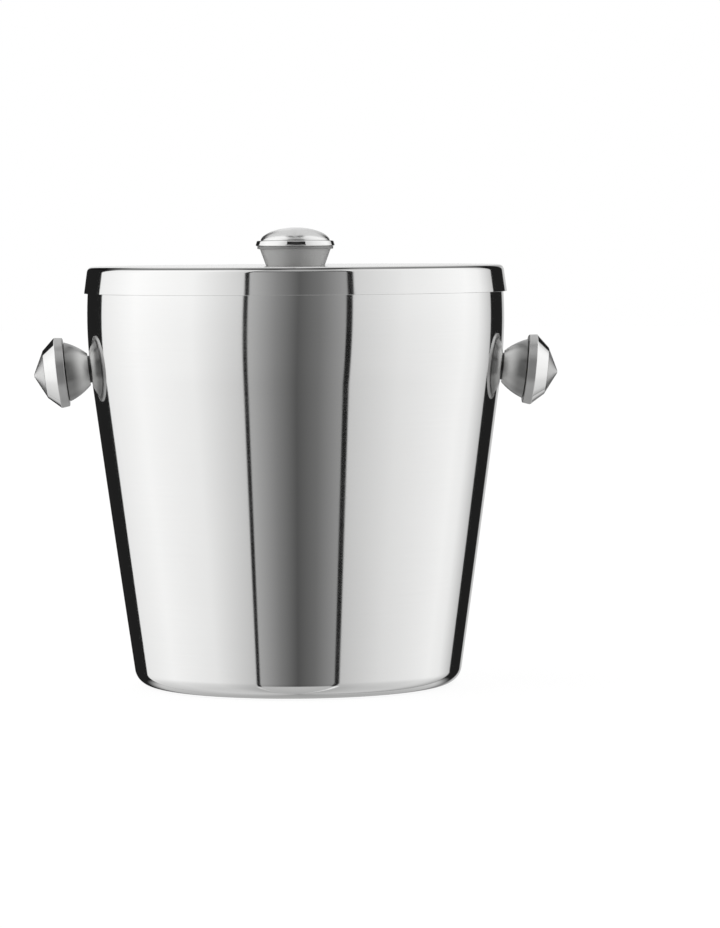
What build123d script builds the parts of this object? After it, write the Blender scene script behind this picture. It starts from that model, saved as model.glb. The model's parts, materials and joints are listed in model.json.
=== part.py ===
from build123d import *
import math
import os

# Double-walled stainless-steel ice bucket with a lift-off lid.
# Millimetres. +Z is up, the origin is the centre of the face that the bucket stands on, the two
# side knobs lie along X, and the front is towards -Y. Everything but the knobs is turned about Z.

# Outer wall: a straight taper below, which a large arc rounds off towards the rim.
BODY_RADIUS = 80.2
BODY_RADIUS_Z = 141.6
BULGE_RADIUS = 178.0
TAPER = math.radians(7.9)
CORNER_RADIUS = 7.0
SHEET = 0.6

# Foot: the outer wall turned in underneath, with a raised pan lying on it.
FOOT_INNER_RADIUS = 50.0
PAN_RAISE = 3.0
PAN_RAISED_RADIUS = 45.0
PAN_FLANGE_RADIUS = 54.0
PAN_STEP = 2.5
PAN_SHEET = 0.5

# Inner bowl, with a rolled rim that ends in a leg lapped inside the outer wall's top edge.
WALL_DEPTH = 7.0
BOWL_FLOOR_Z = 8.0
BOWL_CORNER_RADIUS = 6.0
RIM_TOP_Z = 159.8
RIM_LEG = 5.5
OUTER_WALL_TOP_Z = 155.0
SEAM_GAP = 0.05

# Lid: a cap with a flared skirt over a pan that centres it in the mouth.
LID_TOP_Z = 161.2
LID_SHEET = 0.7
LID_SHOULDER_RADIUS = 2.3
SKIRT_RADIUS = 81.3
SKIRT_BOTTOM_Z = 151.0
SKIRT_FLARE = math.radians(7.8)
LID_PAN_Z = 152.0
LID_PAN_RADIUS = 70.0
LID_PAN_DRAFT = 1.2
LID_PAN_BEND = 1.5
LID_FLANGE_RADIUS = 77.0
LID_PAN_SHEET = 0.5

# Knobs: all three are held by one M4 pan-head screw from behind.
SIDE_KNOB_Z = 121.9
NECK_SINK = 0.5
SCREW_RADIUS = 2.0
SCREW_HOLE_RADIUS = 2.2
SCREW_REACH = 6.2
SCREW_HEAD_RADIUS = 4.0
SCREW_HEAD_HEIGHT = 2.4
RECESS_WIDTH = 0.9
RECESS_SPAN = 4.4
RECESS_DEPTH = 1.3
WASHER_RADIUS = 4.5
WASHER_THICKNESS = 0.8
LOCK_WASHER_RADIUS = 3.5
LOCK_WASHER_THICKNESS = 0.9
LOCK_WASHER_SLIT = 0.8
WASHER_HOLE_RADIUS = 2.15
CURVED_WALL_GAP = 0.15
INSERT_RADIUS = 4.15
INSERT_START = 0.4
INSERT_END = 7.0
INSERT_BORE_RADIUS = 2.05
INSERT_GROOVE = 0.5
POCKET_RADIUS = 4.2
POCKET_DEPTH = 7.2
SPACER_RADIUS = 4.0

BULGE_CENTRE = (BODY_RADIUS - BULGE_RADIUS, BODY_RADIUS_Z)


def wall_point(inset, angle):
    """The (radius, z) on the bulge arc, inset from the wall's outer face, at an angle in radians."""
    radius = BULGE_RADIUS - inset
    return (BULGE_CENTRE[0] + radius * math.cos(angle), BULGE_CENTRE[1] + radius * math.sin(angle))


def angle_at_height(inset, z):
    """The angle at which the bulge arc, inset from the outer face, reaches a height."""
    return math.asin((z - BULGE_CENTRE[1]) / (BULGE_RADIUS - inset))


def bulge_arc(inset, start, end):
    """The piece of the bulge arc between two angles in radians."""
    size = math.degrees(end - start)
    return CenterArc(BULGE_CENTRE, BULGE_RADIUS - inset, math.degrees(start), size)


def lower_wall(inset, floor_radius, floor_z, corner_radius):
    """The floor from floor_radius outwards, the rounded corner and the straight taper above it."""
    top = wall_point(inset, -TAPER)
    corner = (top[0] - (top[1] - floor_z) * math.tan(TAPER), floor_z)
    return FilletPolyline((floor_radius, floor_z), corner, top, radius=corner_radius)


def turned(section):
    """A solid of revolution about Z from a section drawn as (radius, z)."""
    return revolve(Plane.XZ * section, Axis.Z)


def sheet(path, thickness, side):
    """Sheet metal turned about Z: a path drawn as (radius, z), thickened to one side."""
    return turned(make_face(offset(path, amount=thickness, side=side)))


def rod(radius, low, high):
    """A cylinder on the Z axis between two heights."""
    return Pos(0, 0, low) * Cylinder(radius, high - low, align=(Align.CENTER, Align.CENTER, Align.MIN))


def tube(radius, bore, low, high):
    """A ring on the Z axis between two heights."""
    return rod(radius, low, high) - rod(bore, low, high)


def make_outer_shell():
    """The polished outer wall in one drawn piece, open at the top, with its in-turned foot."""
    lower = lower_wall(0, FOOT_INNER_RADIUS, 0, CORNER_RADIUS)
    upper = bulge_arc(0, -TAPER, angle_at_height(0, OUTER_WALL_TOP_Z))
    return sheet(Wire(lower.edges() + upper.edges()), SHEET, Side.LEFT)


def make_wall_core():
    """Everything inside the outer wall's outer face, for cutting knobs to its curve."""
    lower = lower_wall(0, 0, 0, CORNER_RADIUS)
    top_angle = angle_at_height(0, OUTER_WALL_TOP_Z)
    upper = bulge_arc(0, -TAPER, top_angle)
    top = wall_point(0, top_angle)
    close = Polyline(top, (0, top[1]), (0, 0))
    return turned(make_face(lower.edges() + upper.edges() + close.edges()))


def make_inner_liner():
    """The bowl, rolled over in a half circle at the rim and down inside the outer wall."""
    leg_inset = SHEET + SEAM_GAP
    rim_radius = (WALL_DEPTH - leg_inset) / 2
    middle_inset = (WALL_DEPTH + leg_inset) / 2
    rim_angle = angle_at_height(middle_inset, RIM_TOP_Z - rim_radius)
    centre = wall_point(middle_inset, rim_angle)
    crown_angle = rim_angle + math.pi / 2
    crown = (centre[0] + rim_radius * math.cos(crown_angle), centre[1] + rim_radius * math.sin(crown_angle))
    rim = ThreePointArc(wall_point(WALL_DEPTH, rim_angle), crown, wall_point(leg_inset, rim_angle))
    leg = bulge_arc(leg_inset, rim_angle, rim_angle - RIM_LEG / BULGE_RADIUS)
    lower = lower_wall(WALL_DEPTH, 0, BOWL_FLOOR_Z, BOWL_CORNER_RADIUS)
    upper = bulge_arc(WALL_DEPTH, -TAPER, rim_angle)
    path = Wire(lower.edges() + upper.edges() + rim.edges() + leg.edges())
    return sheet(path, SHEET, Side.RIGHT)


def make_base_pan():
    """The raised pan that closes the air gap from below, with its flange on the foot."""
    path = FilletPolyline(
        (0, PAN_RAISE),
        (PAN_RAISED_RADIUS, PAN_RAISE),
        (PAN_RAISED_RADIUS + PAN_STEP, SHEET),
        (PAN_FLANGE_RADIUS, SHEET),
        radius=1.0,
    )
    return sheet(path, PAN_SHEET, Side.LEFT)


def make_lid_shell():
    """The polished lid cap, with its screw hole."""
    shoulder_radius = SKIRT_RADIUS - (LID_TOP_Z - SKIRT_BOTTOM_Z) * math.tan(SKIRT_FLARE)
    path = FilletPolyline(
        (SCREW_HOLE_RADIUS, LID_TOP_Z),
        (shoulder_radius, LID_TOP_Z),
        (SKIRT_RADIUS, SKIRT_BOTTOM_Z),
        radius=LID_SHOULDER_RADIUS,
    )
    return sheet(path, LID_SHEET, Side.RIGHT)


def make_lid_liner():
    """The lid's inner pan, whose flange lies under the lid cap and over the rim."""
    flange_z = LID_TOP_Z - LID_SHEET - LID_PAN_SHEET
    path = FilletPolyline(
        (SCREW_HOLE_RADIUS, LID_PAN_Z),
        (LID_PAN_RADIUS, LID_PAN_Z),
        (LID_PAN_RADIUS + LID_PAN_DRAFT, flange_z),
        (LID_FLANGE_RADIUS, flange_z),
        radius=LID_PAN_BEND,
    )
    return sheet(path, LID_PAN_SHEET, Side.LEFT)


def knob_section(outline, inner):
    """A knob piece's section: its visible outline and the points that close it inside."""
    return turned(make_face(outline.edges() + Polyline(*inner).edges()))


def make_side_collar():
    """The satin cone of a side knob, from its neck at the wall to the spigot inside the cap."""
    neck, swell, spigot, end = 0.6, 8.9, 10.8, 12.0
    outline = (
        Polyline((5.2, -NECK_SINK), (5.2, neck), (6.2, neck))
        + ThreePointArc((6.2, neck), (9.3, 4.6), (11.4, swell))
        + Polyline((11.4, swell), (spigot, swell), (spigot, end), (0, end))
    )
    inner = [(0, end), (0, POCKET_DEPTH), (POCKET_RADIUS, POCKET_DEPTH)]
    inner += [(POCKET_RADIUS, -NECK_SINK), (5.2, -NECK_SINK)]
    return knob_section(outline, inner)


def make_side_cap():
    """The cap of a side knob: a rounded rim and two cones, the outer one ending in a blunt point."""
    outline = FilletPolyline(
        (10.85, 9.4), (13.2, 9.4), (13.6, 12.6), (9.2, 17.4), (0.5, 21.85), (0, 21.85),
        radius=[0.4, 0.6, 0.5, 0.4],
    )
    inner = [(0, 21.85), (0, 20.6), (8.0, 16.4), (9.9, 12.0), (10.85, 12.0), (10.85, 9.4)]
    return knob_section(outline, inner)


def make_lid_collar():
    """The satin cone of the lid knob, with the plain band on which the cap's bead sits."""
    cone, band, spigot, end = 6.3, 7.4, 12.4, 9.4
    outline = Polyline(
        (11.3, 0), (13.6, cone), (14.6, cone), (14.6, band), (spigot, band), (spigot, end), (0, end)
    )
    inner = [(0, end), (0, POCKET_DEPTH), (POCKET_RADIUS, POCKET_DEPTH), (POCKET_RADIUS, 0), (11.3, 0)]
    return knob_section(outline, inner)


def make_lid_cap():
    """The polished cap of the lid knob: a rolled bead round a low dome."""
    bead = ThreePointArc((14.3, 7.4), (15.3, 8.5), (14.3, 9.6))
    land = Line((14.3, 9.6), (13.3, 9.6))
    dome = Spline((13.3, 9.6), (11.7, 11.5), (9.4, 12.8), (4.9, 14.1), (0, 14.6),
                  tangents=[(-0.55, 1), (-1, 0)])
    inner = [(0, 14.6), (0, 13.7), (4.5, 13.2), (8.6, 12.0), (11.5, 9.4), (12.45, 9.4)]
    inner += [(12.45, 7.4), (14.3, 7.4)]
    return knob_section(bead + land + dome, inner)


def make_insert():
    """The threaded boss pressed into a knob's collar, with a retaining groove round its middle."""
    middle = (INSERT_START + INSERT_END) / 2
    body = tube(INSERT_RADIUS, INSERT_BORE_RADIUS, INSERT_START, INSERT_END)
    groove = tube(
        INSERT_RADIUS + 1, INSERT_RADIUS - INSERT_GROOVE, middle - INSERT_GROOVE, middle + INSERT_GROOVE
    )
    return body - groove


def make_screw(seat):
    """A pan-head screw with a cross recess, whose stack of washers bears on a face at height seat."""
    neck = seat - WASHER_THICKNESS - LOCK_WASHER_THICKNESS
    bottom = neck - SCREW_HEAD_HEIGHT
    head = rod(SCREW_HEAD_RADIUS, bottom, neck)
    head = fillet(head.edges().group_by(Axis.Z)[0], SCREW_HEAD_HEIGHT / 2)
    shank = rod(SCREW_RADIUS, neck, SCREW_REACH)
    shank = chamfer(shank.edges().group_by(Axis.Z)[-1], SCREW_RADIUS / 4)
    screw = head + shank
    for turn in (0, 90):
        slot = Box(RECESS_SPAN, RECESS_WIDTH, 2 * RECESS_DEPTH)
        screw -= Pos(0, 0, bottom) * Rot(0, 0, turn) * slot
    return screw


def make_washer(seat):
    """The flat washer, against a face at height seat."""
    return tube(WASHER_RADIUS, WASHER_HOLE_RADIUS, seat - WASHER_THICKNESS, seat)


def make_lock_washer(seat):
    """The split spring washer, drawn flat as it is when tightened."""
    top = seat - WASHER_THICKNESS
    ring = tube(LOCK_WASHER_RADIUS, WASHER_HOLE_RADIUS, top - LOCK_WASHER_THICKNESS, top)
    slit = Box(2 * LOCK_WASHER_RADIUS, LOCK_WASHER_SLIT, 3 * LOCK_WASHER_THICKNESS,
               align=(Align.MIN, Align.CENTER, Align.CENTER))
    return ring - Pos(0, 0, top) * Rot(0, 0, 25) * slit


def make_knob(collar, cap, seat):
    """A whole knob with its fixings, standing on Z with the face it is screwed to at height 0."""
    return {
        "knob_collar": collar,
        "knob_cap": cap,
        "knob_insert": make_insert(),
        "knob_screw": make_screw(seat),
        "knob_washer": make_washer(seat),
        "knob_lock_washer": make_lock_washer(seat),
    }


def main():
    os.makedirs("parts", exist_ok=True)
    nodes = {
        "outer_shell": make_outer_shell(),
        "inner_liner": make_inner_liner(),
        "base_pan": make_base_pan(),
        "lid_shell": make_lid_shell(),
        "lid_liner": make_lid_liner(),
        "lid_spacer": tube(
            SPACER_RADIUS, SCREW_HOLE_RADIUS, LID_PAN_Z + LID_PAN_SHEET, LID_TOP_Z - LID_SHEET
        ),
    }

    lid_knob = make_knob(make_lid_collar(), make_lid_cap(), LID_PAN_Z - LID_TOP_Z)
    for name, piece in lid_knob.items():
        nodes["lid_" + name] = Pos(0, 0, LID_TOP_Z) * piece

    side_knob = make_knob(make_side_collar(), make_side_cap(), -SHEET - CURVED_WALL_GAP)
    wall_core = make_wall_core()
    wall_angle = angle_at_height(0, SIDE_KNOB_Z)
    knob_radius = wall_point(0, wall_angle)[0]
    knob_lean = 90 - math.degrees(wall_angle)
    for side, sign in (("left", -1), ("right", 1)):
        place = Location((sign * knob_radius, 0, SIDE_KNOB_Z), (0, sign * knob_lean, 0))
        for name, piece in side_knob.items():
            nodes[f"{side}_{name}"] = place * piece
        nodes[f"{side}_knob_collar"] -= wall_core
        nodes["outer_shell"] -= place * rod(SCREW_HOLE_RADIUS, -3 * SHEET, SHEET)

    for name, piece in nodes.items():
        export_step(piece, f"parts/{name}.step")


main()
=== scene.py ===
import json
import math

import bpy
from mathutils import Matrix, Vector


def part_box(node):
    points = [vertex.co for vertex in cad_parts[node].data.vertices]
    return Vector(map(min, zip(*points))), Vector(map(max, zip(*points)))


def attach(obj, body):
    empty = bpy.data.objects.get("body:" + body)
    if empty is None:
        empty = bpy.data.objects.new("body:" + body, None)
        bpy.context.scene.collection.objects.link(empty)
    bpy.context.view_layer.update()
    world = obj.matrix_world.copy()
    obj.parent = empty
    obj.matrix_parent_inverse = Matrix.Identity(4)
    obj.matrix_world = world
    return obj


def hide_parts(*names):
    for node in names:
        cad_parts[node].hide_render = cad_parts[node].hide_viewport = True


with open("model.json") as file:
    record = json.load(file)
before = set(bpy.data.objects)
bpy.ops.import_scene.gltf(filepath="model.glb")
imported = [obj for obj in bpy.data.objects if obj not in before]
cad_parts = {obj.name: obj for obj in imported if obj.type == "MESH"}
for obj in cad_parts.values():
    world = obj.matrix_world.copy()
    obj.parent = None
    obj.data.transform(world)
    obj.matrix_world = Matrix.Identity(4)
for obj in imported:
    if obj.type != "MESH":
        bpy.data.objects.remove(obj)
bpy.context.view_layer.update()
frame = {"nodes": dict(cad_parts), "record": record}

# A double-walled ice bucket of polished steel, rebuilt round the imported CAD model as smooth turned
# meshes. Outlines are drawn in millimetres as (radius, height) and made in metres.
MM = 0.001
BODY_SEGMENTS = 256
KNOB_SEGMENTS = 128
SHARP_ANGLE = math.radians(35)


def box_mm(node):
    """A CAD node's lowest and highest corners in millimetres."""
    low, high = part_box(node)
    return low / MM, high / MM


SHELL_LOW, SHELL_HIGH = box_mm("outer_shell")
LINER_LOW, LINER_HIGH = box_mm("inner_liner")
PAN_LOW, PAN_HIGH = box_mm("base_pan")
LID_LOW, LID_HIGH = box_mm("lid_shell")
LID_PAN_LOW, LID_PAN_HIGH = box_mm("lid_liner")

# The outer wall: a straight taper, rounded off towards the rim by a large arc.
BODY_RADIUS = SHELL_HIGH.x
BODY_RADIUS_Z = 141.6
BULGE_RADIUS = 178.0
TAPER = math.radians(7.9)
TAPER_BOW = 0.16
SHEET = 0.6
SEAM_GAP = 0.05
WALL_DEPTH = 7.0
CORNER_RADIUS = 7.0
BOWL_CORNER_RADIUS = 6.0
FOOT_INNER_RADIUS = 50.0
RIM_LEG_ANGLE = 5.5 / BULGE_RADIUS

PAN_SHEET = 0.5
PAN_RAISED_RADIUS = 45.0
PAN_STEP = 2.5
PAN_BEND = 1.0

LID_SHEET = 0.7
LID_SHOULDER_RADIUS = 2.3
SKIRT_FLARE = math.radians(7.8)
# Painted shade: a dark line, standing in for a dark reflection, is painted on the lid's shoulder between
# these depths below its top.
PAINTED_SHADE_LINE = (0.3, 1.05)
SCREW_HOLE_RADIUS = 2.2
LID_PAN_SHEET = 0.5
LID_PAN_RADIUS = 70.0
LID_PAN_DRAFT = 1.2
LID_PAN_BEND = 1.5

# Along a knob's axis, from the face that it is screwed to.
INSERT_MIDDLE = 3.7
NECK_SINK = 0.5
NECK_END = 0.6
COLLAR_END = 9.0
POCKET_RADIUS = 4.2
POCKET_DEPTH = 7.2
LAST_CONE_START = 17.4
LID_BAND_START = 6.4
DOME_START = 9.6


# ---- Outlines ----

def wall_point(inset, angle):
    """The point on the wall's large arc, inset from the outer face, at an angle in radians."""
    radius = BULGE_RADIUS - inset
    centre_radius = BODY_RADIUS - BULGE_RADIUS
    return (centre_radius + radius * math.cos(angle), BODY_RADIUS_Z + radius * math.sin(angle))


def angle_at_height(inset, z):
    """The angle at which the wall's large arc, inset from the outer face, reaches a height."""
    return math.asin((z - BODY_RADIUS_Z) / (BULGE_RADIUS - inset))


def arc(centre, radius, start, end, steps):
    """Points round a circle between two angles in radians."""
    points = []
    for i in range(steps + 1):
        angle = start + (end - start) * i / steps
        points.append((centre[0] + radius * math.cos(angle), centre[1] + radius * math.sin(angle)))
    return points


def arc_through(first, middle, last, steps):
    """Points along the circular arc through three points."""
    (ax, ay), (bx, by), (cx, cy) = first, middle, last
    twice_area = 2 * (ax * (by - cy) + bx * (cy - ay) + cx * (ay - by))
    a2, b2, c2 = ax * ax + ay * ay, bx * bx + by * by, cx * cx + cy * cy
    centre = (
        (a2 * (by - cy) + b2 * (cy - ay) + c2 * (ay - by)) / twice_area,
        (a2 * (cx - bx) + b2 * (ax - cx) + c2 * (bx - ax)) / twice_area,
    )
    start = math.atan2(ay - centre[1], ax - centre[0])
    turn = math.atan2(cy - centre[1], cx - centre[0]) - start
    turn = (turn + math.pi) % (2 * math.pi) - math.pi
    return arc(centre, math.dist(centre, first), start, start + turn, steps)


def rounded(corners, steps=8):
    """An open outline through (radius, height) or (radius, height, rounding) corners."""
    points = []
    for i, corner in enumerate(corners):
        here = Vector(corner[:2])
        if len(corner) == 2 or i in (0, len(corners) - 1):
            points.append(tuple(here))
            continue
        before = (Vector(corners[i - 1][:2]) - here).normalized()
        after = (Vector(corners[i + 1][:2]) - here).normalized()
        half = before.angle(after) / 2
        reach = corner[2] / math.tan(half)
        centre = here + (before + after).normalized() * corner[2] / math.sin(half)
        start = here + before * reach - centre
        end = here + after * reach - centre
        turn = math.atan2(start.cross(end), start.dot(end))
        start_angle = math.atan2(start.y, start.x)
        points += arc(centre, corner[2], start_angle, start_angle + turn, steps)
    return points


def with_support(points, near, shortest=0.36, longest=6.0):
    """The outline with points added beside both ends of each run longer than shortest, and along
    those longer than longest."""
    filled = [points[0]]
    for start, end in zip(points, points[1:]):
        length = math.dist(start, end)
        places = []
        if length > shortest:
            inner = length - 2 * near
            count = max(1, math.ceil(inner / longest))
            places = [near + inner * i / count for i in range(count + 1)]
        for place in places + [length]:
            share = place / length if length else 1
            filled.append((start[0] + (end[0] - start[0]) * share, start[1] + (end[1] - start[1]) * share))
    return filled


def sheet_outline(path, thickness):
    """The closed outline of sheet metal on the left of a path, with its free edges rounded."""
    path = with_support(path, 0.25, 2.5)
    inside = []
    for i, point in enumerate(path):
        before = Vector(point) - Vector(path[max(i - 1, 0)])
        after = Vector(path[min(i + 1, len(path) - 1)]) - Vector(point)
        before = before.normalized() if before.length else after.normalized()
        after = after.normalized() if after.length else before
        normals = [Vector((-way.y, way.x)) for way in (before, after)]
        middle = (normals[0] + normals[1]).normalized()
        reach = thickness / middle.dot(normals[0])
        inside.append((max(point[0] + middle.x * reach, 0), point[1] + middle.y * reach))
    inside.reverse()
    outline = path + sheet_edge(path[-1], inside[0]) + inside
    if path[0][0] > 0:
        outline += sheet_edge(inside[-1], path[0])
    return outline


def sheet_edge(start, end, steps=6):
    """The points between two faces of a sheet, rounding its cut edge a little."""
    start, end = Vector(start), Vector(end)
    across = end - start
    outward = Vector((across.y, -across.x)).normalized()
    bulge = across.length / 4
    points = []
    for i in range(1, steps):
        share = i / steps
        points.append(tuple(start + across * share + outward * bulge * math.sin(math.pi * share)))
    return points


# ---- Turned meshes ----

def turned(name, outline, segments, seat=None, finish_and_shade=None):
    """A mesh turned about Z from a closed outline in millimetres. Each vertex keeps its distance
    along the outline, which the polish and brush lines follow, how matt it is and how much painted
    shade it has: the last argument, if given, gives both for a radius and a height. seat, if given,
    moves a vertex to a new height."""
    verts = []
    faces = []
    along = []
    matt = []
    painted_shade = []
    rings = []
    travelled = 0.0
    previous = outline[0]
    for radius, z in outline:
        travelled += math.dist(previous, (radius, z))
        previous = (radius, z)
        count = segments if radius > 1e-6 else 1
        rings.append(range(len(verts), len(verts) + count))
        for i in range(count):
            angle = 2 * math.pi * i / segments
            place = Vector((radius * math.cos(angle), radius * math.sin(angle), z))
            if seat:
                place.z = seat(place)
            verts.append(place * MM)
            along.append(travelled * MM)
            shares = finish_and_shade(radius, z) if finish_and_shade else (0.0, 0.0)
            matt.append(shares[0])
            painted_shade.append(shares[1])
    for ring, following in zip(rings, rings[1:] + rings[:1]):
        for i in range(segments):
            j = (i + 1) % segments
            corners = [ring[i % len(ring)], ring[j % len(ring)]]
            corners += [following[j % len(following)], following[i % len(following)]]
            corners = list(dict.fromkeys(corners))
            if len(corners) > 2:
                faces.append(corners)
    mesh = bpy.data.meshes.new(name)
    mesh.from_pydata(verts, [], faces)
    for attribute, values in (("along", along), ("matt", matt), ("painted_shade", painted_shade)):
        mesh.attributes.new(attribute, "FLOAT", "POINT").data.foreach_set("value", values)
    mesh.polygons.foreach_set("use_smooth", [True] * len(faces))
    mesh.set_sharp_from_angle(angle=SHARP_ANGLE)
    piece = bpy.data.objects.new(name, mesh)
    bpy.context.scene.collection.objects.link(piece)
    return piece


def finish_piece(piece, body, node, material):
    """Gives a piece the material of its slot and its body, and hides the CAD node that it stands for."""
    piece.data.materials.append(material)
    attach(piece, body)
    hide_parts(node)


# ---- Shader graphs ----

class Graph:
    """A node tree, with short ways to add and link nodes."""

    def __init__(self, tree):
        self.tree = tree
        tree.nodes.clear()

    def feed(self, socket, value):
        if isinstance(value, bpy.types.NodeSocket):
            self.tree.links.new(value, socket)
        else:
            socket.default_value = value

    def node(self, kind, inputs=None, **settings):
        made = self.tree.nodes.new(kind)
        for name, value in settings.items():
            setattr(made, name, value)
        for key, value in (inputs or {}).items():
            self.feed(made.inputs[key], value)
        return made

    def math(self, operation, first, second=0.0):
        return self.node("ShaderNodeMath", {0: first, 1: second}, operation=operation).outputs[0]

    def spread(self, value, low, high, to_low, to_high, kind="LINEAR"):
        """value, moved from one range to another and held at its ends."""
        inputs = {"Value": value, "From Min": low, "From Max": high, "To Min": to_low, "To Max": to_high}
        return self.node("ShaderNodeMapRange", inputs, interpolation_type=kind).outputs["Result"]

    def window(self, value, low, high, soft):
        """1 where value lies between low and high, fading over soft at both ends."""
        rise = self.spread(value, low - soft / 2, low + soft / 2, 0.0, 1.0, "SMOOTHSTEP")
        fall = self.spread(value, high - soft / 2, high + soft / 2, 1.0, 0.0, "SMOOTHSTEP")
        return self.math("MULTIPLY", rise, fall)


def linear(display):
    """The linear light of a display value from 0 to 255."""
    value = display / 255
    return value / 12.92 if value <= 0.04045 else ((value + 0.055) / 1.055) ** 2.4


# ---- Materials ----

MATT_ROUGHNESS = 0.26
# Painted shade: the share of the dark colour that steel keeps where shade is painted in full.
PAINTED_SHADE_TONE = 0.12


def line_pattern(graph, fineness, drift=30.0, detail=3.0):
    """Noise drawn out round the axis into lines, with fineness lines to the metre along the outline."""
    place = graph.node("ShaderNodeTexCoord").outputs["Object"]
    split = graph.node("ShaderNodeSeparateXYZ", {0: place})
    along = graph.node("ShaderNodeAttribute", attribute_name="along").outputs["Fac"]
    parts = [graph.math("MULTIPLY", split.outputs[i], drift) for i in (0, 1)]
    parts.append(graph.math("MULTIPLY", along, fineness))
    vector = graph.node("ShaderNodeCombineXYZ", {0: parts[0], 1: parts[1], 2: parts[2]}).outputs[0]
    inputs = {"Vector": vector, "Scale": 1.0, "Detail": detail, "Roughness": 0.6}
    return graph.node("ShaderNodeTexNoise", inputs).outputs["Fac"]


def cloud_pattern(graph, scale, detail=2.0):
    """Soft noise in the object's own coordinates, with scale features to the metre."""
    place = graph.node("ShaderNodeTexCoord").outputs["Object"]
    inputs = {"Vector": place, "Scale": scale, "Detail": detail, "Roughness": 0.5}
    return graph.node("ShaderNodeTexNoise", inputs).outputs["Fac"]


def metal(name, dark, light, smooth, rough, line_fineness, line_depth, wave_depth, anisotropy):
    """A metal with fine lines round its axis: its colour runs from dark to light and its roughness
    from smooth to rough along the lines, which are line_depth metres deep. wave_depth is the height
    of slow waves in the sheet, which make long reflections waver. Matt places are rougher by
    MATT_ROUGHNESS. Where shade is painted, the colour is mixed towards a small share of the dark
    colour, as far as the vertex's painted-shade share says."""
    material = bpy.data.materials.new(name)
    material.use_nodes = True
    graph = Graph(material.node_tree)
    lines = line_pattern(graph, line_fineness)
    clouds = cloud_pattern(graph, 45.0)
    tone = graph.math("ADD", graph.math("MULTIPLY", lines, 0.6), graph.math("MULTIPLY", clouds, 0.4))
    colour = graph.node("ShaderNodeMix", {"Factor": tone}, data_type="RGBA")
    colour.inputs["A"].default_value = (*dark, 1)
    colour.inputs["B"].default_value = (*light, 1)
    # Painted shade: the colour darkens towards a small share of the dark colour where the outline paints
    # shade.
    painted_shade = graph.node("ShaderNodeAttribute", attribute_name="painted_shade").outputs["Fac"]
    painted_shade_colour = graph.node("ShaderNodeMix", {"Factor": painted_shade}, data_type="RGBA")
    graph.feed(painted_shade_colour.inputs["A"], colour.outputs["Result"])
    painted_shade_colour.inputs["B"].default_value = (*(PAINTED_SHADE_TONE * part for part in dark), 1)
    matt = graph.node("ShaderNodeAttribute", attribute_name="matt").outputs["Fac"]
    roughness = graph.math(
        "ADD", graph.spread(tone, 0.25, 0.75, smooth, rough), graph.math("MULTIPLY", matt, MATT_ROUGHNESS)
    )
    fine = graph.node("ShaderNodeBump", {"Height": lines, "Strength": 1.0, "Distance": line_depth})
    waves = cloud_pattern(graph, 28.0, 1.0)
    slow = graph.node("ShaderNodeBump", {"Height": waves, "Strength": 1.0, "Distance": wave_depth})
    graph.feed(slow.inputs["Normal"], fine.outputs[0])
    tangent = graph.node("ShaderNodeTangent", direction_type="RADIAL", axis="Z")
    shader = graph.node("ShaderNodeBsdfPrincipled", {
        "Base Color": painted_shade_colour.outputs["Result"],
        "Metallic": 1.0,
        "Roughness": roughness,
        "Anisotropic": anisotropy,
        "Anisotropic Rotation": 0.25,
        "Normal": slow.outputs[0],
        "Tangent": tangent.outputs[0],
    })
    output = graph.node("ShaderNodeOutputMaterial")
    graph.feed(output.inputs["Surface"], shader.outputs[0])
    return material


def make_materials():
    """One material for each of the record's slots."""
    looks = {
        "polished_steel": dict(
            dark=(0.77, 0.77, 0.765), light=(0.82, 0.82, 0.815), smooth=0.04, rough=0.09,
            line_fineness=3500, line_depth=1.5e-8, wave_depth=1.2e-5, anisotropy=0.5,
        ),
        "satin_steel": dict(
            dark=(0.60, 0.60, 0.595), light=(0.74, 0.74, 0.735), smooth=0.12, rough=0.20,
            line_fineness=5000, line_depth=4e-6, wave_depth=0.0, anisotropy=0.4,
        ),
        "brushed_lining": dict(
            dark=(0.62, 0.62, 0.61), light=(0.72, 0.72, 0.71), smooth=0.18, rough=0.30,
            line_fineness=3000, line_depth=2e-6, wave_depth=4e-6, anisotropy=0.6,
        ),
        "fastener_steel": dict(
            dark=(0.52, 0.52, 0.51), light=(0.66, 0.66, 0.65), smooth=0.16, rough=0.28,
            line_fineness=2500, line_depth=0.0, wave_depth=2e-6, anisotropy=0.3,
        ),
        "insert_brass": dict(
            dark=(0.70, 0.52, 0.24), light=(0.82, 0.66, 0.36), smooth=0.20, rough=0.34,
            line_fineness=2500, line_depth=0.0, wave_depth=2e-6, anisotropy=0.3,
        ),
        "spacer_aluminium": dict(
            dark=(0.68, 0.69, 0.70), light=(0.80, 0.80, 0.81), smooth=0.24, rough=0.38,
            line_fineness=2500, line_depth=0.0, wave_depth=2e-6, anisotropy=0.3,
        ),
    }
    return {name: metal(name, **look) for name, look in looks.items()}


# ---- Bucket and lid ----

def lower_wall(inset, floor_radius, floor_z, corner_radius):
    """The floor from floor_radius outwards, the rounded corner and the straight taper above it."""
    top = wall_point(inset, -TAPER)
    corner_r = top[0] - (top[1] - floor_z) * math.tan(TAPER)
    path = rounded([(floor_radius, floor_z), (corner_r, floor_z, corner_radius), top], steps=20)
    start = Vector(path[-2])
    straight = Vector(top) - start
    outward = Vector((straight.y, -straight.x)).normalized()
    bowed = []
    steps = 16
    for i in range(1, steps + 1):
        share = i / steps
        bow = 4 * share * (1 - share) * TAPER_BOW
        bowed.append(tuple(start + straight * share + outward * bow))
    return path[:-1] + bowed


def bulge(inset, start, end, steps=28):
    """Points along the wall's large arc between two angles."""
    centre = (BODY_RADIUS - BULGE_RADIUS, BODY_RADIUS_Z)
    return arc(centre, BULGE_RADIUS - inset, start, end, steps)


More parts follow.
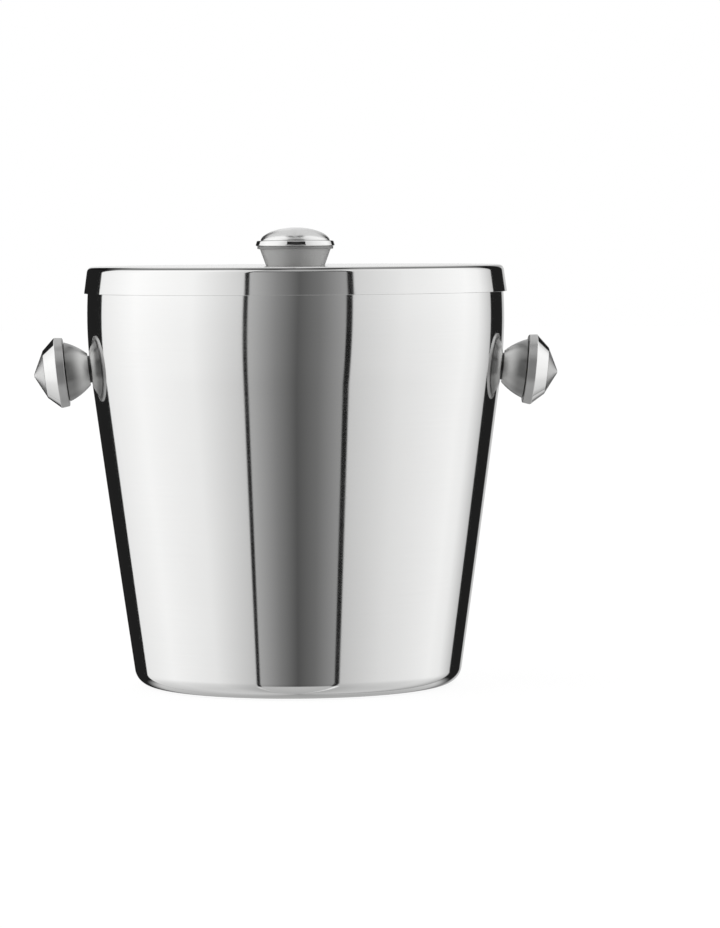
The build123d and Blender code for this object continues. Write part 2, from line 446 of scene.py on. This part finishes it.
def outer_shell_outline():
    """The polished outer wall, turned in underneath as the foot."""
    lower = lower_wall(0, FOOT_INNER_RADIUS, SHELL_LOW.z, CORNER_RADIUS)
    upper = bulge(0, -TAPER, angle_at_height(0, SHELL_HIGH.z))
    return sheet_outline(lower + upper[1:], SHEET)


def inner_liner_outline():
    """The bowl, rolled over at the rim and down inside the outer wall."""
    leg_inset = SHEET + SEAM_GAP
    rim_radius = (WALL_DEPTH - leg_inset) / 2
    middle_inset = (WALL_DEPTH + leg_inset) / 2
    rim_angle = angle_at_height(middle_inset, LINER_HIGH.z - rim_radius)
    floor_z = LINER_LOW.z + SHEET
    path = lower_wall(WALL_DEPTH, 0, floor_z, BOWL_CORNER_RADIUS)
    path += bulge(WALL_DEPTH, -TAPER, rim_angle)[1:]
    path += arc(wall_point(middle_inset, rim_angle), rim_radius, math.pi + rim_angle, rim_angle, 24)[1:]
    path += bulge(leg_inset, rim_angle, rim_angle - RIM_LEG_ANGLE, 6)[1:]
    return right_of(path, SHEET)


def right_of(path, thickness):
    """The closed outline of sheet metal on the right of a path."""
    return sheet_outline(path, -thickness)


def base_pan_outline():
    """The raised pan that closes the base."""
    low = PAN_LOW.z
    raised = PAN_HIGH.z - PAN_SHEET
    path = rounded([
        (0, raised),
        (PAN_RAISED_RADIUS, raised, PAN_BEND),
        (PAN_RAISED_RADIUS + PAN_STEP, low, PAN_BEND),
        (PAN_HIGH.x, low),
    ])
    return sheet_outline(path, PAN_SHEET)


def lid_shell_outline():
    """The lid's flat top, its rounded shoulder and its flared skirt."""
    skirt_bottom = LID_LOW.z + LID_SHEET * math.sin(SKIRT_FLARE)
    shoulder = LID_HIGH.x - (LID_HIGH.z - skirt_bottom) * math.tan(SKIRT_FLARE)
    path = rounded([
        (SCREW_HOLE_RADIUS, LID_HIGH.z),
        (shoulder, LID_HIGH.z, LID_SHOULDER_RADIUS),
        (LID_HIGH.x, skirt_bottom),
    ], steps=20)
    return right_of(path, LID_SHEET)


def lid_cover_painted_shade(radius, height):
    """A painted dark reflection: a dark line is painted where the lid's flat top turns down into its
    shoulder, and the polish stays as it is.
    """
    drop = LID_HIGH.z - height
    return 0.0, 0.8 if PAINTED_SHADE_LINE[0] < drop < PAINTED_SHADE_LINE[1] else 0.0


def lid_liner_outline():
    """The pan inside the lid, with its flange."""
    flange = LID_PAN_HIGH.z - LID_PAN_SHEET
    path = rounded([
        (SCREW_HOLE_RADIUS, LID_PAN_LOW.z),
        (LID_PAN_RADIUS, LID_PAN_LOW.z, LID_PAN_BEND),
        (LID_PAN_RADIUS + LID_PAN_DRAFT, flange, LID_PAN_BEND),
        (LID_PAN_HIGH.x, flange),
    ])
    return sheet_outline(path, LID_PAN_SHEET)


def make_sheets(materials):
    """The five sheet-metal pieces."""
    sheets = [
        ("outer_wall", "outer_shell", "bucket", "polished_steel", outer_shell_outline(), None),
        ("bowl_lining", "inner_liner", "bucket", "brushed_lining", inner_liner_outline(), None),
        ("foot_pan", "base_pan", "bucket", "brushed_lining", base_pan_outline(), None),
        ("lid_cover", "lid_shell", "lid", "polished_steel", lid_shell_outline(), lid_cover_painted_shade),
        ("lid_lining", "lid_liner", "lid", "brushed_lining", lid_liner_outline(), None),
    ]
    for name, node, body, slot, outline, finish_and_shade in sheets:
        piece = turned(name, outline, BODY_SEGMENTS, None, finish_and_shade)
        finish_piece(piece, body, node, materials[slot])


# ---- Knobs ----

def knob_pocket(end, start):
    """The hidden points of a collar: from its end face to the pocket that holds the insert."""
    return [(0, end), (0, POCKET_DEPTH), (POCKET_RADIUS, POCKET_DEPTH), (POCKET_RADIUS, start)]


def side_collar_outline():
    """The cone of a side knob, from its neck at the wall to the spigot inside the cap."""
    cone = arc_through((6.2, NECK_END), (9.3, 4.6), (11.4, 8.9), 16)
    neck = [(5.2, -NECK_SINK), (5.2, NECK_END), (5.9, NECK_END)]
    groove = [(11.3, COLLAR_END), (10.8, COLLAR_END), (10.8, 12.0), (0, 12.0)]
    return with_support(neck + cone + groove, 0.12) + knob_pocket(12.0, -NECK_SINK)[1:]


def smooth_step(value, low, high):
    """0 below low and 1 above high, with an even curve between them."""
    share = min(max((value - low) / (high - low), 0.0), 1.0)
    return share * share * (3 - 2 * share)


def side_collar_finish_and_shade(radius, height):
    """The bare neck at the wall and the groove under the cap are matt and darkened with painted shade.
    The rest of the collar is less matt, with painted shade that grows towards the cap."""
    if height < NECK_END - 0.05 or height > COLLAR_END + 0.05:
        return 1.0, 1.0
    return 0.55, 0.55 * smooth_step(height, 2.5, 7.0)


def side_cap_outline():
    """The cap of a side knob: a rim and two cones, the last one ending in a blunt point."""
    outside = rounded([
        (10.85, 9.4), (13.2, 9.4, 0.4), (13.6, 12.6, 0.5), (9.2, LAST_CONE_START, 0.4),
        (0.5, 21.75, 0.6), (0, 21.8),
    ])
    inside = [(0, 20.6), (8.0, 16.4), (9.9, 12.0), (10.85, 12.0)]
    return with_support(outside, 0.15) + inside


def side_cap_finish_and_shade(radius, height):
    """The cap's rim is brushed and a little darkened with painted shade, its first cone polished and its
    last one a little matt, with a matt line of painted shade between them."""
    if abs(height - LAST_CONE_START) < 0.06:
        return 0.5, 0.7
    if height > LAST_CONE_START:
        return 0.9, 0.0
    rim = 1 - smooth_step(height, 12.3, 12.7)
    return 1.3 * rim, 0.3 * rim


def lid_collar_outline():
    """The cone of the lid knob, with the plain band on which the cap's bead sits."""
    outside = rounded([
        (11.3, 0), (13.6, 6.3, 0.3), (14.6, LID_BAND_START, 0.2), (14.6, 7.4), (12.4, 7.4), (12.4, 9.4),
        (0, 9.4),
    ])
    return with_support(outside, 0.12) + knob_pocket(9.4, 0)[1:]


def lid_cap_outline():
    """The cap of the lid knob: a bead round a low dome."""
    bead = rounded([(14.0, 7.4), (15.35, 7.5, 0.45), (14.72, 9.55, 0.45), (13.4, DOME_START)])
    dome = dome_points(13.3, DOME_START, 5.0, 28)
    inside = [(0, 13.7), (4.5, 13.2), (8.6, 12.0), (11.5, 9.4), (12.45, 9.4), (12.45, 7.4)]
    return with_support(bead, 0.1) + dome + inside


def lid_collar_finish_and_shade(radius, height):
    """The collar is more matt than the side knobs' ones and a little darker all over, and the plain band
    under the bead is darkened further with painted shade.
    """
    return 1.8, 0.45 if height > LID_BAND_START - 0.05 else 0.1


def lid_cap_finish_and_shade(radius, height):
    """The dome is a little matt, its bead fully polished, and the line between them matt and darkened with
    painted shade.
    """
    if abs(height - DOME_START) < 0.04 and radius < 14.3:
        return 0.5, 0.8
    return (0.7 if height > DOME_START + 0.1 else 0.0), 0.0


def dome_points(radius, base, height, steps):
    """A low dome that leans in faster at its edge than an ellipse does."""
    points = []
    for i in range(steps + 1):
        angle = math.pi / 2 * i / steps
        points.append((radius * math.cos(angle), base + height * math.sin(angle) ** 1.12))
    points[-1] = (0, base + height)
    return points


def knob_place(side):
    """A knob's own frame: Z outwards along its axis from its seat, and X upwards on a side knob."""
    insert_low, insert_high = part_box(side + "_knob_insert")
    washer_low, washer_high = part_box(side + "_knob_washer")
    middle = (insert_low + insert_high) / 2
    z_axis = (middle - (washer_low + washer_high) / 2).normalized()
    up = Vector((0, 0, 1)) if abs(z_axis.z) < 0.9 else Vector((0, 1, 0))
    x_axis = (up - z_axis * up.dot(z_axis)).normalized()
    y_axis = z_axis.cross(x_axis)
    turn = Matrix((x_axis, y_axis, z_axis)).transposed().to_4x4()
    return Matrix.Translation(middle - z_axis * INSERT_MIDDLE * MM) @ turn


def on_wall(place):
    """The height of a side collar's point: its open end follows the curve of the wall."""
    return place.z if place.z > -NECK_SINK / 2 else -place.y ** 2 / (2 * BODY_RADIUS)


def make_knobs(materials):
    """A satin collar and a polished cap for each of the three knobs."""
    for side in ("left", "right", "lid"):
        place = knob_place(side)
        if side == "lid":
            body = "lid"
            collar = turned("lid_collar", lid_collar_outline(), KNOB_SEGMENTS, None, lid_collar_finish_and_shade)
            cap = turned("lid_cap", lid_cap_outline(), KNOB_SEGMENTS, None, lid_cap_finish_and_shade)
        else:
            body = "bucket"
            collar = turned(
                side + "_collar", side_collar_outline(), KNOB_SEGMENTS, on_wall, side_collar_finish_and_shade
            )
            cap = turned(side + "_cap", side_cap_outline(), KNOB_SEGMENTS, None, side_cap_finish_and_shade)
        parts = [(collar, "_knob_collar", "satin_steel"), (cap, "_knob_cap", "polished_steel")]
        for piece, part, slot in parts:
            piece.matrix_world = place
            finish_piece(piece, body, side + part, materials[slot])


def finish_cad_nodes(materials):
    """The fixings keep their CAD shape and get the material of their slot."""
    slots = {row["node"]: row["material_slot"] for row in frame["record"]["subparts"]}
    for name, piece in frame["nodes"].items():
        for material_slot in piece.material_slots:
            material_slot.material = materials[slots[name]]


# ---- Studio ----

# The light round the bucket. Azimuth is 0 towards the camera and grows to the right; elevation is
# above the horizon; both are in degrees. Between the surfaces the studio is nearly black.
# (name, azimuths, elevations, softness in azimuth, softness in elevation,
#  [(azimuth, display value seen in steel)])
STUDIO = [
    ("front_card", (-27.4, 26.2), (-38, 27), 0.9, 3.0,
     [(-27, 176), (-12, 130), (0, 87), (12, 113), (27, 154)]),
    ("upper_card", (-29, 31), (35.5, 66), 3.0, 3.0, [(0, 165)]),
    ("front_ceiling", (-30, 32), (66, 95), 3.0, 10.0, [(0, 176)]),
    ("front_table", (-31, 33), (-95, -37), 3.0, 8.0, [(0, 222)]),
    ("left_softbox", (-135.6, -30.0), (-95, 74), 1.1, 6.0,
     [(-136, 234), (-100, 253), (-60, 243), (-29, 202)]),
    ("right_softbox", (29.7, 134.8), (-95, 74), 1.1, 6.0,
     [(30, 206), (60, 231), (105, 248), (118, 240), (128, 212), (136, 185)]),
    ("left_back_ceiling", (-185, -136), (30, 95), 6.0, 16.0, [(-160, 205)]),
    ("right_back_ceiling", (136, 185), (30, 95), 6.0, 16.0, [(160, 205)]),
    ("rear_right_strip", (160, 183), (-20, 30), 3.0, 14.0, [(160, 182), (171, 194), (178, 226)]),
    ("rear_left_strip", (-183, -173), (-20, 30), 2.0, 14.0, [(-180, 226), (-173, 205)]),
    ("rear_right_table", (136, 185), (-95, -26), 3.0, 14.0, [(140, 230), (165, 205), (183, 200)]),
    ("rear_left_table", (-185, -136), (-95, -26), 3.0, 14.0, [(-183, 200), (-165, 205), (-140, 230)]),
]
# The light of the studio weakens from top to bottom: (elevation, share of the display light).
WEAKENING = [
    (-90, 0.50), (-74, 0.57), (-60, 0.60), (-48, 0.62), (-30, 0.72), (-24, 0.79), (-19, 0.88), (-12, 0.94),
    (-4, 0.96), (4, 1.0),
]
STEEL_REFLECTANCE = 0.80
DARK_STUDIO = 30
FLOOR_GLOW = 0.84
FLOOR_PAINT = 0.25

# The camera stands a little to the left of the bucket's front, so the left knob is the nearer one.
VIEW_TURN = math.radians(-0.8)
CAMERA_PLACE = (0.0, -1.631, 0.174)
CAMERA_LENS = 164.3
LOOK_DOWN = math.radians(3.14)
LOOK_RIGHT = math.radians(0.855)
CAMERA_ROLL = math.radians(-0.38)
# The studio's upright edges lean to the right with height: degrees of azimuth per degree above the
# elevation that the plain part of the wall shows.
STUDIO_LEAN = 0.065
WALL_ELEVATION = -19.0


def ramp_along(graph, value, stops):
    """The grey level at a value, read off a list of (value, level) stops."""
    low, high = stops[0][0], stops[-1][0]
    ramp = graph.node("ShaderNodeValToRGB")
    elements = ramp.color_ramp.elements
    for _ in range(len(stops) - 2):
        elements.new(0.5)
    if len(stops) == 1:
        elements.remove(elements[1])
    for element, (place, level) in zip(elements, stops):
        element.position = (place - low) / (high - low) if high > low else 0.0
        element.color = (level, level, level, 1)
    graph.feed(ramp.inputs[0], graph.spread(value, low, max(high, low + 1), 0.0, 1.0))
    return ramp.outputs["Color"]


def studio_light():
    """The world: each surface of the studio is a window in azimuth and elevation."""
    world = bpy.data.worlds.new("studio")
    bpy.context.scene.world = world
    world.use_nodes = True
    graph = Graph(world.node_tree)
    way = graph.node("ShaderNodeTexCoord").outputs["Generated"]
    turn = {"Vector": way, "Angle": -VIEW_TURN}
    turned_way = graph.node("ShaderNodeVectorRotate", turn, rotation_type="Z_AXIS").outputs[0]
    split = graph.node("ShaderNodeSeparateXYZ", {0: turned_way})
    back = graph.math("MULTIPLY", split.outputs["Y"], -1.0)
    azimuth = graph.math("DEGREES", graph.math("ARCTAN2", split.outputs["X"], back))
    elevation = graph.math("DEGREES", graph.math("ARCSINE", split.outputs["Z"]))
    height = graph.math("SUBTRACT", elevation, WALL_ELEVATION)
    azimuth = graph.math("SUBTRACT", azimuth, graph.math("MULTIPLY", height, STUDIO_LEAN))
    light = None
    for _, azimuths, elevations, soft, soft_height, levels in STUDIO:
        stops = [(angle, linear(display) / STEEL_REFLECTANCE) for angle, display in levels]
        across = graph.window(azimuth, *azimuths, soft)
        upright = graph.window(elevation, *elevations, soft_height)
        surface = graph.math("MULTIPLY", across, upright)
        lit = graph.math("MULTIPLY", surface, ramp_along(graph, azimuth, stops))
        light = graph.math("ADD", light, lit) if light else lit
    light = graph.math("MULTIPLY", light, ramp_along(graph, elevation, WEAKENING))
    light = graph.math("MAXIMUM", light, linear(DARK_STUDIO) / STEEL_REFLECTANCE)
    background = graph.node("ShaderNodeBackground", {"Color": light})
    output = graph.node("ShaderNodeOutputWorld")
    graph.feed(output.inputs["Surface"], background.outputs[0])


def glowing(name, glow, paint):
    """A matt white paint with an even glow, so that the room stays pale with only a faint shadow."""
    material = bpy.data.materials.new(name)
    material.use_nodes = True
    graph = Graph(material.node_tree)
    shader = graph.node("ShaderNodeBsdfPrincipled", {
        "Base Color": (paint, paint, paint, 1),
        "Roughness": 1.0,
        "Specular IOR Level": 0.0,
        "Emission Color": (glow, glow, glow, 1),
        "Emission Strength": 1.0,
    })
    output = graph.node("ShaderNodeOutputMaterial")
    graph.feed(output.inputs["Surface"], shader.outputs[0])
    return material


def make_room():
    """A pale floor and a white backdrop dome. Neither shows in the steel, which sees the studio."""
    bpy.ops.mesh.primitive_circle_add(vertices=96, radius=6, fill_type="NGON", location=(0, 0, 0))
    floor = bpy.context.object
    floor.name = "floor"
    floor.data.materials.append(glowing("floor_paint", FLOOR_GLOW, FLOOR_PAINT))
    bpy.ops.mesh.primitive_uv_sphere_add(segments=64, ring_count=32, radius=6, location=(0, 0, 0))
    dome = bpy.context.object
    dome.name = "backdrop"
    dome.data.materials.append(glowing("backdrop_paint", 1.0, 0.0))
    dome.visible_shadow = False
    for part in (floor, dome):
        part.visible_glossy = False
        part.visible_diffuse = False


def make_camera():
    """A little above the lid and a long way off, aimed to the right of the bucket."""
    data = bpy.data.cameras.new("camera")
    data.lens = CAMERA_LENS
    camera = bpy.data.objects.new("camera", data)
    bpy.context.scene.collection.objects.link(camera)
    place = Matrix.Translation(CAMERA_PLACE)
    pitch = Matrix.Rotation(math.pi / 2 - LOOK_DOWN, 4, "X")
    yaw = Matrix.Rotation(-LOOK_RIGHT, 4, "Z")
    roll = Matrix.Rotation(CAMERA_ROLL, 4, "Z")
    camera.matrix_world = Matrix.Rotation(VIEW_TURN, 4, "Z") @ place @ yaw @ pitch @ roll
    bpy.context.scene.camera = camera


materials = make_materials()
make_sheets(materials)
make_knobs(materials)
finish_cad_nodes(materials)
studio_light()
make_room()
make_camera()
bpy.context.scene.view_settings.view_transform = "Standard"
